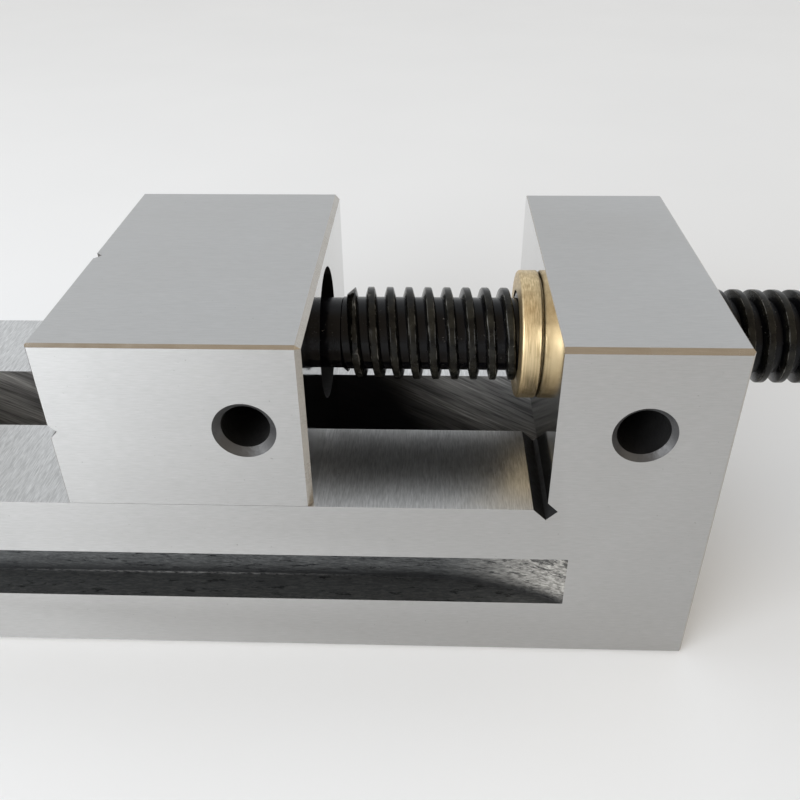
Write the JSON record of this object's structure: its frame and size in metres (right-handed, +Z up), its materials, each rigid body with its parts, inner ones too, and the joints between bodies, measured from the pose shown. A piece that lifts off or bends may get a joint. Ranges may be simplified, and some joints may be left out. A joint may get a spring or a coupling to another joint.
{
  "type": "machine vise",
  "caption": "Low ground steel screw vise: fixed jaw, bed and end block in one piece, sliding movable jaw with V-grooves, lead screw in a flanged brass nut, tommy bar.",
  "frame": {"origin": "on the bottom face, at mid-width, straight below the fixed jaw's clamping face", "axes": "+X from the fixed jaw towards the end block and the screw head, +Y across the jaws, +Z up"},
  "size_m": [0.2977, 0.11, 0.074],
  "materials": {
    "ground_steel": "fine ground, satin",
    "bright_steel": "turned bright",
    "black_steel": "blackened, dull",
    "oxide_steel": "black oxide, oiled",
    "brass": "turned, slightly tarnished"
  },
  "bodies": {
    "body": {"vise_body": "ground_steel", "lead_nut": "brass", "nut_screw_near": "black_steel", "nut_screw_far": "black_steel"},
    "jaw": {"movable_jaw": "ground_steel", "keeper_plate": "black_steel", "keeper_screw_1": "black_steel", "keeper_screw_2": "black_steel", "keeper_screw_3": "black_steel", "keeper_screw_4": "black_steel", "keeper_dowel_1": "bright_steel", "keeper_dowel_2": "bright_steel", "thrust_disc": "bright_steel", "nose_screw_near": "black_steel", "nose_screw_far": "black_steel"},
    "screw": {"lead_screw": "oxide_steel", "screw_head": "oxide_steel", "head_pin": "bright_steel"},
    "bar": {"tommy_bar": "bright_steel", "bar_knob_near": "oxide_steel", "bar_knob_far": "oxide_steel"}
  },
  "joints": [
    {"name": "jaw_slide", "type": "slide", "parent": "body", "child": "jaw", "axis": [1, 0, 0], "range_m": [-0.0554, 0.044]},
    {"name": "screw_spin", "type": "hinge", "parent": "jaw", "child": "screw", "pos_m": [0.1027, 0, 0.0565], "axis": [1, 0, 0], "range_deg": [-4986, 3960]},
    {"name": "bar_slide", "type": "slide", "parent": "screw", "child": "bar", "axis": [0, 1, 0], "range_m": [-0.0299, 0.0299]}
  ],
  "couplings": [
    {"joint": "jaw_slide", "follows": "screw_spin", "m_per_rad": 0.00063662}
  ]
}
